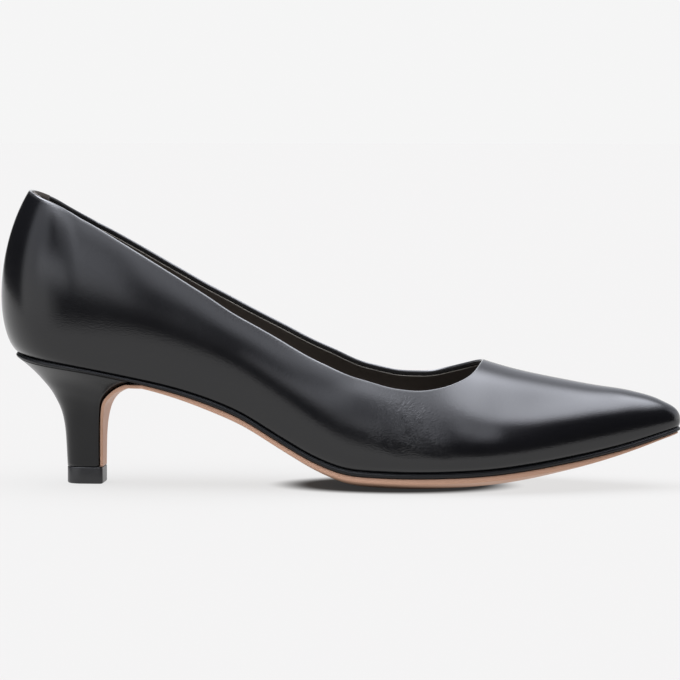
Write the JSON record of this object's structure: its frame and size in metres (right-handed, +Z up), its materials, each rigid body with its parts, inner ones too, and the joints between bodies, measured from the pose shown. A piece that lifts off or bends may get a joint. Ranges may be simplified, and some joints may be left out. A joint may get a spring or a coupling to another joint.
{
  "type": "court shoe",
  "caption": "Black leather court shoe with a pointed toe and a low curved heel, right foot, empty.",
  "frame": {"origin": "middle of the shoe's footprint box, on the floor", "axes": "+X from heel to toe, -Y towards the outer side of the foot, +Z up"},
  "size_m": [0.2646, 0.0762, 0.1145],
  "materials": {
    "upper_leather": "smooth, softly polished, black",
    "welt_leather": "satin, black",
    "heel_leather": "smooth, softly polished, black",
    "sole_leather": "smooth, matte, tan",
    "sock_leather": "matte, dark brown",
    "lining_leather": "matte, dark brown",
    "tip_rubber": "matte, black"
  },
  "bodies": {
    "root": {"upper": "upper_leather", "insole": "sock_leather", "welt": "welt_leather", "outsole": "sole_leather", "heel": "heel_leather", "top_piece": "tip_rubber", "heel_grip": "lining_leather"}
  },
  "joints": []
}
